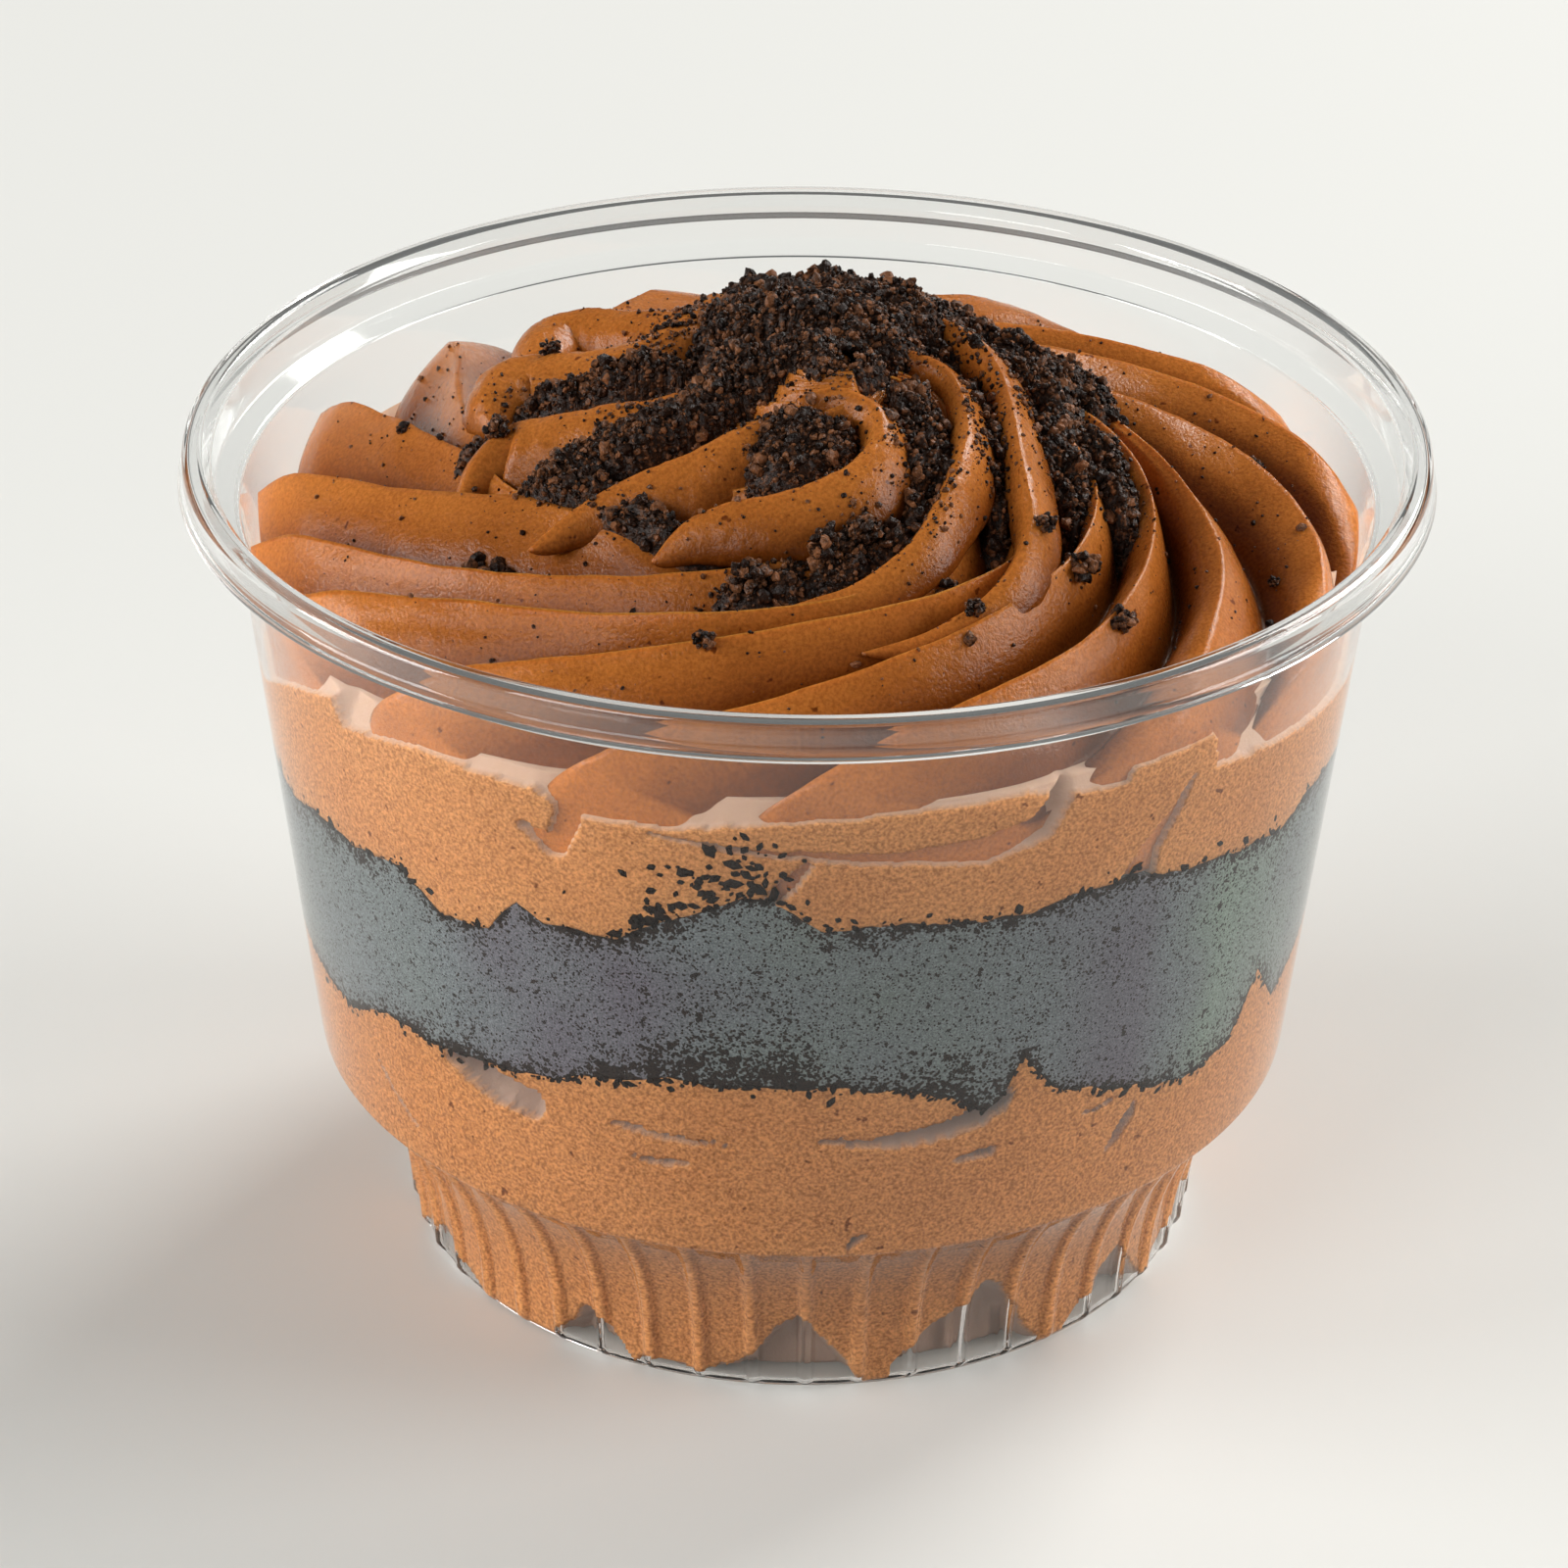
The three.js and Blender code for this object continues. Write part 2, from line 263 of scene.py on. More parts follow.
def plasticMaterial():
    material, tree, shader = newMaterial("clearPlastic")
    shader.inputs["Base Color"].default_value = (0.985, 0.99, 0.988, 1)
    shader.inputs["Transmission Weight"].default_value = 1.0
    shader.inputs["IOR"].default_value = 1.47
    wear = objectNoise(tree, 60, 2)
    gloss = colourRamp(tree, wear.outputs["Fac"], [
        (0.3, (0.015, 0.015, 0.015)), (0.8, (0.05, 0.05, 0.05))])
    tree.links.new(gloss, shader.inputs["Roughness"])
    # lamps shine straight through, and so does light that has bounced a few times inside the wall
    clear = addNode(tree, "ShaderNodeBsdfTransparent", Color=(0.96, 0.965, 0.963, 1))
    path = tree.nodes.new("ShaderNodeLightPath")
    deep = combine(tree, "GREATER_THAN", path.outputs["Ray Depth"], 4.5)
    last = shader.outputs["BSDF"]
    for factor in (deep, path.outputs["Is Shadow Ray"]):
        mix = tree.nodes.new("ShaderNodeMixShader")
        tree.links.new(factor, mix.inputs[0])
        tree.links.new(last, mix.inputs[1])
        tree.links.new(clear.outputs[0], mix.inputs[2])
        last = mix.outputs[0]
    tree.links.new(last, tree.nodes["Material Output"].inputs["Surface"])
    return material


clearPlastic = plasticMaterial()
swirlMousse = mousseMaterial("swirlMousse", (0.455, 0.146, 0.025), (0.37, 0.112, 0.018), 0.2, 0.4, 0.16, 0.15)
# the last colour of each is painted light where the mousse stands off the wall: painted shade and reflection
# below, painted reflection above
lowerMousse = mousseMaterial(
    "lowerMousse", (0.5, 0.218, 0.075), (0.46, 0.193, 0.063), 0.6, 0.8, 0.08, 0.1, (0.3, 0.19, 0.14))
upperMousse = mousseMaterial(
    "upperMousse", (0.52, 0.236, 0.086), (0.48, 0.21, 0.074), 0.6, 0.7, 0.08, 0.1, (0.5, 0.315, 0.22))
biscuit = crumbMaterial(
    "biscuitCrumb", (0.007, 0.004, 0.003), (0.026, 0.011, 0.006), (0.24, 0.095, 0.04), 0.3, 0.16)
stuckBiscuit = crumbMaterial(
    "stuckBiscuit", (0.006, 0.004, 0.003), (0.012, 0.007, 0.005), (0.03, 0.015, 0.01), 0.8, 0)
packedBiscuit = packedMaterial()


def footOutside(z):
    return cup["footRadius"] + cup["footDraft"] * z + cup["footFlare"] * (z / cup["creaseHeight"]) ** 3


def bowlOutside(z):
    share = (z - cup["creaseHeight"]) / (cup["ledgeHeight"] - cup["creaseHeight"])
    return cup["bowlBottomRadius"] + share * (cup["bowlTopRadius"] - cup["bowlBottomRadius"])


def ribBump(angle, z):  # how far the ribs push the foot's wall out
    spacing = 360 / cup["ribCount"]
    off = np.mod(angle - cup["ribPhase"] + spacing / 2, spacing) - spacing / 2
    arc = np.radians(off) * footOutside(z)
    fade = smoothStep(0.2, 1.6, z) * (1 - smoothStep(15.4, 17.2, z))
    return cup["ribProud"] * fade * np.exp(-((arc / cup["ribHalfWidth"]) ** 4))


def insideWall(z, angle):  # inner face of the cup
    radius = np.where(z < cup["creaseHeight"], footOutside(z) + ribBump(angle, z), bowlOutside(z))
    return radius - cup["wall"]


def roundCorners(path, stepsPerCorner):  # path holds (radius, height, corner radius)
    result = []
    for i, (r, z, bend) in enumerate(path):
        here = np.array([r, z])
        if bend == 0 or i in (0, len(path) - 1):
            result.append(here)
            continue
        toLast = np.array(path[i - 1][:2]) - here
        toNext = np.array(path[i + 1][:2]) - here
        toLast /= np.linalg.norm(toLast)
        toNext /= np.linalg.norm(toNext)
        half = math.acos(np.clip(toLast @ toNext, -1, 1)) / 2
        reach = bend / math.tan(half)
        start, end = here + toLast * reach, here + toNext * reach
        for step in range(stepsPerCorner + 1):
            t = step / stepsPerCorner
            result.append((1 - t) ** 2 * start + 2 * t * (1 - t) * here + t * t * end)
    return np.array(result)


def makeCup():
    half = cup["wall"] / 2
    path = [(0, half, 0), (cup["footRadius"] - half + 0.1, half, cup["baseCorner"])]
    for z in np.linspace(2.2, 16.6, 12):
        path.append((footOutside(z) - half, z, 0))
    crease, ledge, top = cup["creaseHeight"], cup["ledgeHeight"], cup["height"] - half
    path += [(footOutside(crease) - half - 0.1, crease - 0.1, 0.3)]
    path += [(cup["bowlBottomRadius"] - half, crease + 0.35, 0.3)]
    for z in np.linspace(crease + 1.5, ledge - 1.5, 8):
        path.append((bowlOutside(z) - half, z, 0))
    path += [(cup["bowlTopRadius"] - half, ledge, 0.35)]
    path += [(cup["skirtRadius"] - half - 0.1, ledge + 0.75, 0.45)]
    path += [(cup["skirtRadius"] - half + 0.05, top - 0.9, 0.4)]
    path += [(cup["skirtRadius"] + 0.45, top, 0.35)]
    path += [(cup["lipRadius"] - half - 0.45, top - 0.02, 0.6)]
    path += [(cup["lipRadius"] - half - 0.4, top - 1.7, 0.5)]
    path += [(cup["lipRadius"] - half - 0.05, cup["height"] - cup["lipDrop"], 0)]
    line = roundCorners(path, 5) * mm

    # one point is drawn out along the profile, spun round the axis and given the wall's thickness
    bpy.ops.object.select_all(action="DESELECT")
    bpy.ops.mesh.primitive_plane_add(size=mm)
    piece = bpy.context.object
    piece.name = piece.data.name = "clearCup"
    bpy.ops.object.mode_set(mode="EDIT")
    bpy.ops.mesh.merge(type="CENTER")
    bpy.ops.transform.translate(value=(0, 0, line[0][1]))
    for r, z in np.diff(line, axis=0):
        bpy.ops.mesh.extrude_vertices_move(TRANSFORM_OT_translate={"value": (r, 0, z)})
    bpy.ops.mesh.select_all(action="SELECT")
    bpy.ops.mesh.spin(steps=cup["columns"], angle=2 * math.pi, center=(0, 0, 0), axis=(0, 0, 1))
    bpy.ops.mesh.select_all(action="SELECT")
    bpy.ops.mesh.remove_doubles(threshold=0.01 * mm)
    bpy.ops.mesh.normals_make_consistent(inside=False)
    bpy.ops.mesh.faces_shade_smooth()
    bpy.ops.object.mode_set(mode="OBJECT")
    wall = piece.modifiers.new("wall", "SOLIDIFY")
    wall.thickness = cup["wall"] * mm
    wall.offset = 0
    wall.use_even_offset = True
    bpy.ops.object.modifier_apply(modifier="wall")

    points = np.array([v.co for v in piece.data.vertices]) / mm
    reach = np.hypot(points[:, 0], points[:, 1])
    angle = np.degrees(np.arctan2(points[:, 1], points[:, 0]))
    onFoot = (reach > cup["footRadius"] - 2.5) & (points[:, 2] < crease)
    push = np.where(onFoot, ribBump(angle, points[:, 2]), 0) / np.maximum(reach, 1)
    points[:, :2] *= 1 + push[:, None]
    piece.data.vertices.foreach_set("co", (points * mm).ravel())
    piece.data.update()
    piece.data.materials.append(clearPlastic)
    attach(piece, "root")
    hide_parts("cup")
    print(f"clearCup: {len(piece.data.polygons)} faces")


swirl = {
    "radius": 44.0, "top": 80, "edge": 63.6, "eyeDrop": 1.9, "eyeReach": 9, "curve": 0.83,
    "edgeDrop": 2.2, "edgeWidth": 4,
    "depth": 5.4, "depthShare": 0.56, "eye": (3.4, -9.2), "eyeDrift": 0.8, "eyeRadius": 0.8,
    "columnsPerRidge": 26, "steps": 236, "stepCurve": 1.2, "scallop": 1.6, "weakFall": 0.85,
    "tier": 1.6, "tierFrom": 118, "tierTo": 292, "sideGap": 0.5, "bottom": 49.0, "sideRings": 17,
}

# each ridge: how far from the eye it fades out, then its crest's angle at each of these distances
ridgeRadii = (44, 38, 33, 28, 24, 20, 16, 13, 10, 6, 0.8)
ridges = [
    (27, 134, 141, 153, 169, 183, 200, 222, 246, 278, 330, 600),
    (24, 155, 160, 167, 179, 199, 220, 243, 264, 295, 347, 620),
    (20, 175, 180, 187, 195, 205, 237, 262, 281, 310, 364, 640),
    (19, 188, 199, 213, 229, 246, 267, 284, 298, 326, 384, 662),
    (9, 202, 213, 228, 254, 281, 293, 301, 315, 348, 406, 684),
    (10, 225, 236, 249, 270, 302, 319, 333, 360, 386, 440, 716),
    (12, 248, 263, 278, 301, 325, 348, 366, 388, 415, 468, 744),
    (13, 270, 287, 310, 333, 354, 374, 392, 412, 440, 494, 770),
    (13, 309, 322, 338, 353, 368, 386, 408, 433, 462, 518, 794),
    (13, 334, 356, 372, 383, 393, 410, 432, 457, 488, 544, 820),
    (14, 364, 386, 403, 416, 429, 446, 468, 492, 520, 576, 850),
    (15, 388, 406, 425, 443, 458, 476, 498, 521, 550, 606, 880),
    (18, 424, 438, 456, 475, 490, 508, 529, 549, 578, 634, 908),
    (24, 464, 476, 489, 504, 518, 535, 555, 576, 606, 662, 936),
]
ridgeCount = len(ridges)


def ridgeAngle(index, radius):
    table = np.array(ridges, float)[:, 1:]
    spots = np.log(swirl["radius"] / np.array(ridgeRadii))
    here = np.clip(np.log(swirl["radius"] / radius), 0, spots[-1] - 1e-6)
    ridge = np.mod(index, ridgeCount).astype(int)
    slopes = np.gradient(table, spots, axis=1)
    span = np.clip(np.searchsorted(spots, here, side="right") - 1, 0, len(spots) - 2)
    width = spots[span + 1] - spots[span]
    t = (here - spots[span]) / width
    startAngle, endAngle = table[ridge, span], table[ridge, span + 1]
    startSlope, endSlope = slopes[ridge, span] * width, slopes[ridge, span + 1] * width
    angle = (2 * t ** 3 - 3 * t ** 2 + 1) * startAngle + (t ** 3 - 2 * t ** 2 + t) * startSlope
    angle = angle + (3 * t ** 2 - 2 * t ** 3) * endAngle + (t ** 3 - t ** 2) * endSlope
    return angle + 360 * np.floor(index / ridgeCount)


def crestHeight(radius):
    edge = np.clip(1 - (swirl["radius"] - radius) / swirl["edgeWidth"], 0, None)
    fall = (swirl["top"] - swirl["edge"]) * (radius / swirl["radius"]) ** swirl["curve"]
    flat = swirl["eyeDrop"] * np.clip(1 - radius / swirl["eyeReach"], 0, 1) ** 2
    return swirl["top"] - fall - swirl["edgeDrop"] * edge ** 2 - flat


def tierHeight(angle, radius):  # the upper coil stands higher than the lower one on the left and in front
    turns, reaches = (110, 140, 180, 200, 235, 270, 300), (27, 29, 26.5, 24, 20.5, 19, 15)
    groove = np.interp(np.mod(angle, 360), turns, reaches)
    inside = smoothStep(0, 3, groove - 0.6 - radius)
    side = smoothStep(swirl["tierFrom"] - 25, swirl["tierFrom"], np.mod(angle, 360))
    beyond = smoothStep(swirl["tierTo"] - 20, swirl["tierTo"], np.mod(angle, 360))
    return swirl["tier"] * inside * side * (1 - beyond)


def swirlPoint(column, radius):  # column counts ridges, so 2.5 is halfway from ridge 2 to ridge 3
    ridge = np.floor(column)
    share = column - ridge
    start = ridgeAngle(ridge, radius)
    spread = ridgeAngle(ridge + 1, radius) - start
    angle = start + share * spread
    drift = np.clip(1 - radius / swirl["radius"], 0, 1) ** swirl["eyeDrift"]
    # each ridge has a broad face and a steep one, and the valley lies between them
    valley = 0.53 + 0.22 * np.cos(np.radians(angle - 222))
    falls = []
    for k in (-1, 0, 1, 2):
        off = share - k
        side = np.where(off > 0, off / valley, -off / (1 - valley))
        fade = np.array([r[0] for r in ridges], float)[np.mod(ridge + k, ridgeCount).astype(int)]
        weak = 1 - smoothStep(fade - 2, fade + 3, radius)
        falls.append(0.62 * side + 0.38 * np.minimum(side, 1.4) ** 3 + swirl["weakFall"] * weak)
    falls = np.sort(np.array(falls), axis=0)
    near = np.clip(0.5 - (falls[1] - falls[0]) / 0.24, 0, 0.5)
    fall = falls[0] - 0.12 * near * near * 2
    spacing = np.radians(spread) * radius
    depth = np.minimum(swirl["depth"], swirl["depthShare"] * spacing) * smoothStep(1, 9, radius)
    flow = np.stack([column * 2.1, 9 * np.log(radius), 0 * column], -1)
    depth = depth * (1 + 0.16 * lumps(flow, 3.1, 5))
    turn = np.radians(angle)
    reach = radius - swirl["scallop"] * fall * (radius / swirl["radius"]) ** 10
    x = swirl["eye"][0] * drift + reach * np.cos(turn)
    y = swirl["eye"][1] * drift + reach * np.sin(turn)
    z = crestHeight(radius) - depth * fall + tierHeight(angle, radius)
    place = np.stack([x, y, z], -1)
    streaks = np.stack([column * 9, 2.2 * np.log(radius) + 0 * column, 0 * column], -1)
    z = z + 0.5 * lumps(flow, 5.3, 9) * smoothStep(1, 10, radius) + 0.09 * lumps(streaks, 1, 3)
    z = z + 0.14 * lumps(place, 3.2, 1) + 0.05 * lumps(place, 0.9, 2)
    return np.stack([x, y, z], -1)


def markPaintedShade(piece, deep):  # painted shade: 1 in the valleys and under the lobes, where the mousse's colour is painted darker
    values = np.zeros(len(piece.data.vertices))
    values[:deep.size] = np.clip(deep, 0, 1).reshape(-1)
    storeValues(piece, "deep", values)


def makeSwirl():
    columns = np.arange(ridgeCount * swirl["columnsPerRidge"]) / swirl["columnsPerRidge"]
    shares = np.linspace(0, 1, swirl["steps"]) ** swirl["stepCurve"]
    radii = swirl["radius"] * (swirl["eyeRadius"] / swirl["radius"]) ** shares
    top = np.array([swirlPoint(columns, np.full_like(columns, r)) for r in radii])
    edge = top[0]
    turn = np.arctan2(edge[:, 1], edge[:, 0])
    reach = np.hypot(edge[:, 0], edge[:, 1])
    bottom = swirl["bottom"]
    side = []
    for share in np.linspace(0, 1, swirl["sideRings"] + 1)[:-1]:
        z = bottom + share * (edge[:, 2] - bottom)
        bulge = smoothStep(0, 4, edge[:, 2] - z)
        wide = reach + (insideWall(z, 0) - swirl["sideGap"] - reach) * bulge
        side.append(np.stack([wide * np.cos(turn), wide * np.sin(turn), z], -1))
    inner = side[0].copy()
    inner[:, :2] *= 0.5
    rings = np.concatenate([[inner], side, top])
    points, faces = closedSolid(rings, [0, 0, bottom], [*swirl["eye"], rings[-1][:, 2].mean()])
    piece = addPiece("mousseSwirl", points, faces, swirlMousse, ["upper_mousse"])
    crest = top[:, ::swirl["columnsPerRidge"], 2]
    share = np.mod(columns, 1)
    first = np.repeat(crest, swirl["columnsPerRidge"], 1)
    second = np.repeat(np.roll(crest, -1, 1), swirl["columnsPerRidge"], 1)
    below = first + (second - first) * share - top[..., 2]
    # painted shade: the deeper a point lies below the crests, the darker its colour is painted
    markPaintedShade(piece, np.concatenate([np.zeros((len(side) + 1, len(columns))), below / 2.8 - 0.15]))


# the upper coil's lobes: crest points (x, y, z) from the tail inwards, how wide each lobe is, how much of its
# length it takes to reach that width, how much it narrows again, and how sharp its crest is
lobes = {
    "lobeBack": {"width": 3.4, "taper": 0.2, "narrow": 0.2, "sharp": 0, "crest": [
        (-21, 10, 69.8), (-21.6, 14, 70.6), (-20.7, 18, 70.6), (-18, 18.6, 71), (-13.9, 16.5, 71.9),
        (-9.9, 14.2, 73.1), (-6, 12, 73.8), (-2, 9, 74)]},
    "lobeLeft": {"width": 4.0, "taper": 0.2, "narrow": 0.2, "sharp": 0, "crest": [
        (-24.6, 0.5, 69.6), (-25, 3.6, 71.2), (-24.1, 6.6, 71.6), (-22.3, 7.7, 71.8), (-19.5, 7.2, 72.4),
        (-16.5, 5.9, 73.3), (-13.2, 5.2, 74.3), (-11, 6.4, 74.9), (-8.8, 9.7, 75), (-7.4, 14, 74.6)]},
    "lobeFrontLeft": {"width": 3.8, "taper": 0.4, "narrow": 0.2, "sharp": 0.4, "crest": [
        (-27, -10, 68.4), (-25.4, -6.8, 70.6), (-23, -4.9, 71.9), (-21, -5.5, 72.7), (-18.5, -6.3, 73.5),
        (-16, -7.1, 74.3), (-12.5, -7.6, 75.3), (-8, -6.5, 76)]},
    "lobeFront": {"width": 3.2, "taper": 0.5, "narrow": 0.2, "sharp": 0.7, "crest": [
        (-21, -20.5, 69.4), (-17.5, -18.2, 71.6), (-14, -17.2, 73.2), (-11, -16.8, 74.3), (-9, -16.4, 75),
        (-7, -15.9, 75.8), (-5, -15.1, 76.5), (-2.5, -13.6, 76.8), (0.5, -11.5, 76.6)]},
    "hook": {"width": 3.2, "taper": 0.34, "narrow": 0.66, "sharp": 0.8, "crest": [
        (-11.6, -24.6, 70.6), (-9.2, -23.3, 72.9), (-6.1, -22.7, 74.1), (-2.5, -22.6, 74.8),
        (0.8, -21.9, 75.4), (3.4, -20.4, 76.1), (5.1, -18.4, 76.9), (5.6, -16.2, 77.6),
        (5, -14.2, 78.2), (3.6, -12.9, 78.6),
        (2, -12.3, 78.7), (0.4, -12.3, 78.4), (-0.8, -12.5, 77.8)]},
    "coilInner": {"width": 2.6, "taper": 0.6, "narrow": 0.3, "sharp": 1, "crest": [
        (-8.9, -30.3, 67.6), (-4.4, -30.4, 68.6), (0.8, -29.8, 69.9), (5.3, -28.2, 71.3), (8.6, -25.4, 73.2),
        (10.8, -20.9, 75), (12, -16, 76), (12, -11, 76.7), (11.1, -6.5, 77.2), (9, -3.6, 77.5),
        (6.2, -3, 77.5), (3.4, -4.4, 77)]},
    "coilOuter": {"width": 2.8, "taper": 0.6, "narrow": 0.3, "sharp": 1, "crest": [
        (4.2, -32.9, 67.2), (8.8, -31.8, 68.2), (12.8, -29.5, 69.5), (15.6, -26.4, 71.1), (16.9, -22.4, 72.9),
        (16.6, -18.4, 74.2), (16.1, -14, 75.1), (15.7, -9.7, 75.8), (14.8, -3.7, 76.5), (13.2, 0.1, 77),
        (11, 3, 77.4), (8.6, 4.2, 77.6), (5.5, 3.6, 77.2)]},
}
# the lobe's cross-section for a width of 1, from the crest out, under and back
roundLobe = (
    (0, 0), (0.3, -0.06), (0.62, -0.22), (0.9, -0.5), (1.08, -0.86), (1.15, -1.25), (1.05, -1.7), (0.7, -2),
    (0, -2.1), (-0.5, -1.95), (-0.78, -1.5), (-0.82, -1), (-0.68, -0.55), (-0.42, -0.22), (-0.2, -0.06),
)
sharpLobe = (
    (0, 0), (0.17, -0.08), (0.42, -0.3), (0.72, -0.68), (0.98, -1.12), (1.2, -1.6), (1.15, -2), (0.7, -2.25),
    (0, -2.3), (-0.55, -2.1), (-0.72, -1.6), (-0.66, -1.05), (-0.5, -0.6), (-0.32, -0.26), (-0.14, -0.06),
)


def smoothPath(points, steps):
    points = np.array(points, float)
    padded = np.vstack([2 * points[0] - points[1], points, 2 * points[-1] - points[-2]])
    result = []
    for a, b, c, d in zip(padded, padded[1:], padded[2:], padded[3:]):
        for t in np.arange(steps) / steps:
            square, cube = 2 * a - 5 * b + 4 * c - d, 3 * b - a - 3 * c + d
            result.append(0.5 * (2 * b + (c - a) * t + square * t * t + cube * t ** 3))
    return np.array(result + [points[-1]])


def makeLobes():
    for number, (name, lobe) in enumerate(lobes.items()):
        width = lobe["width"]
        path = smoothPath(lobe["crest"], 14)
        outline = np.array(roundLobe) * (1 - lobe["sharp"]) + np.array(sharpLobe) * lobe["sharp"]
        shape = smoothPath(np.vstack([outline, outline[:1]]), 4)[:-1]
        along = np.gradient(path, axis=0)
        along /= np.linalg.norm(along[:, :2], axis=1)[:, None]
        rings = []
        for i, (spot, way) in enumerate(zip(path, along)):
            share = i / (len(path) - 1)
            swell = min(1, share / lobe["taper"])
            grow = width * max(0.04, swell ** 0.6 * (1 - lobe["narrow"] * share ** 1.5))
            outward = np.array([way[1], -way[0], 0])
            ring = spot + grow * (shape[:, :1] * outward + shape[:, 1:] * [0, 0, 1])
            ring[:, 2] -= width * 0.2 * (1 - swell)
            rings.append(ring)
        rings = np.array(rings)
        middle = rings.mean(axis=1, keepdims=True)
        uneven = 1 + 0.08 * lumps(rings, 3, 91 + number)
        uneven += 0.025 * lumps(rings, 0.9, 96) + 0.015 * lumps(rings, 0.45, 97)
        rings = middle + (rings - middle) * uneven[..., None]
        points, faces = closedSolid(rings[:, ::-1], rings[0].mean(axis=0), rings[-1].mean(axis=0))
        piece = addPiece(name, points, faces, swirlMousse)
        # painted shade: the lower side of each lobe is painted darker
        markPaintedShade(piece, np.tile(-0.95 * shape[::-1, 1] - 0.35, (len(rings), 1)))


# edges of the layers round the wall, as (angle, height)
crumbTopEdge = [
    (0, 46), (30, 48), (60, 46.5), (90, 48), (120, 46), (150, 47.5), (175, 46), (195, 44.8), (202, 44.5),
    (209, 45.9), (216, 45.7), (224, 46.5), (230, 43.7), (236, 44.2), (240, 47.6), (243, 46.4), (251, 46.2),
    (255, 48.2), (260, 50), (264, 51.5), (268, 51), (272, 48.6), (278, 49.1), (285, 48.6), (294, 48.4),
    (300, 49.4), (306, 49), (311, 48.1), (318, 47.4), (330, 46), (335, 47.3),
]
crumbBottomEdge = [
    (0, 30), (30, 28.5), (60, 31), (90, 29.5), (120, 31.5), (150, 29), (180, 31), (200, 28.6), (209, 28),
    (218, 30.6), (226, 30.4), (243, 31.5), (246, 32.5), (256, 33.7), (271, 33.9), (281, 33.2), (286, 32),
    (290, 30.4), (292, 31.5), (294, 34.9), (298, 31), (306, 29.1), (317, 26.7), (325, 27.3), (330, 32.4),
    (336, 27.9), (348, 31),
]
contactTopEdge = [
    (20, 55), (50, 53.5), (80, 54.5), (110, 53), (140, 55), (170, 53.5), (195, 52.7), (206, 56.4),
    (216, 58.9), (217.5, 56.8), (230, 58.7), (243, 58.4), (247, 56.8), (257, 57), (268, 58.2),
    (280, 59), (292, 59.4),
    (297, 58.5), (303, 58.1), (303.6, 59.2), (314, 59.8), (315, 56.4), (333, 54.8), (345, 54),
]
baseArches = [
    (8, 1), (18, 5), (30, 0), (48, 6), (62, 0), (82, 4.5), (95, 0.5), (112, 7), (124, 0), (142, 4),
    (158, 0.5), (176, 6), (190, 0), (206, 3.5), (218, 0), (232, 0.2), (238, 4.9), (241, 4.2),
    (246, 0.2), (248, 1.5),
    (256, 1.1), (262, 2.5), (268, 6.4), (270.5, 7.8), (272, 6), (280, 0.2), (283, 0.2), (284, 2.6),
    (288, 4.8), (297, 9), (299, 8.4), (304, 3), (308, 0.2), (312, 0.5), (322, 6.5), (327, 3),
    (331, 0.6), (345, 5),
]

# hollows where the mousse doesn't touch the wall, each a chain of (angle, height, half width)
upperHollows = [
    [(255, 56.4, 0.12), (268, 55.4, 0.3), (280, 54.9, 0.6), (288, 54.8, 1.2), (293.5, 56, 1.3),
     (296, 59, 0.9), (298, 62, 1)],
    [(247, 60, 1), (246.4, 56, 1), (245, 53.6, 0.9), (241.6, 54.8, 0.4)],
    [(312, 57.2, 0.05), (309.6, 54, 0.45), (307, 51.5, 0.95), (305.5, 48.6, 1.7)],
    [(266, 50.5, 0.3), (268.5, 52.6, 0.7), (270.5, 54.4, 0.3)],
]
lowerHollows = [
    [(229, 29.9, 1), (234, 29, 1.6), (239, 28.4, 1.5)],
    [(249.5, 28.6, 0.22), (255, 28.2, 0.28), (262, 27.9, 0.1)],
    [(251.5, 26, 0.05), (255, 25.7, 0.25), (259, 25.9, 0.06)],
    [(286.5, 25.6, 0.12), (291, 26.3, 0.5)],
    [(306.5, 23.2, 0.3), (309, 25.8, 0.5), (309.8, 27.4, 0.06)],
    [(275.5, 18.5, 0.25), (277, 19, 0.3)],
    [(291.5, 31, 1.2), (289, 29.6, 1), (284, 28.7, 0.7), (278, 28.3, 0.4), (272, 28.7, 0.12)],
    [(214, 25, 0.1), (217, 22.6, 0.2), (221, 20.6, 0.1)],
    [(302, 27.6, 0.06), (306, 27.9, 0.15)],
]

# bottom to bandTop are heights; a blotch of dark crumbs is (angle, spread in degrees, height)
layers = {
    "columns": 840, "embed": 0.14, "openGap": 0.5, "lowerDepth": 2.2, "archDepth": 2.2, "upperDepth": 1.3,
    "blotches": ((258, 9, 3.2), (266, 6, 3.8), (287, 7, 2), (325, 10, 1), (232, 14, 0.6)),
    "lowerRows": 108, "crumbRows": 66, "upperRows": 56,
    "bottom": 0.66, "crumbFrom": 31, "crumbTo": 47.5, "bandMiddle": 50, "bandTop": 59.6,
}


def hollowShare(chains, angle, z, radius):  # above 0 inside a hollow, rising to 1 at its middle
    best = np.full(np.broadcast(angle, z).shape, -1.0)
    for chain in chains:
        for (a0, z0, w0), (a1, z1, w1) in zip(chain, chain[1:]):
            perDegree = np.radians(1) * radius
            px, pz = (angle - a0) * perDegree, z - z0
            ex, ez = (a1 - a0) * perDegree, z1 - z0
            share = np.clip((px * ex + pz * ez) / (ex * ex + ez * ez), 0, 1)
            width = w0 + share * (w1 - w0)
            off = np.hypot(px - share * ex, pz - share * ez)
            best = np.maximum(best, np.clip(1 - off / width, -1, 1) * np.minimum(1, width))
    return best


def wiggle(angle, z, amount, size, seed):  # a ragged edge: shifts angle and height a little
    place = onCircle(angle, insideWall(z, angle), z)
    return amount * lumps(place, size, seed) + 0.5 * amount * lumps(place, size * 0.38, seed + 1)


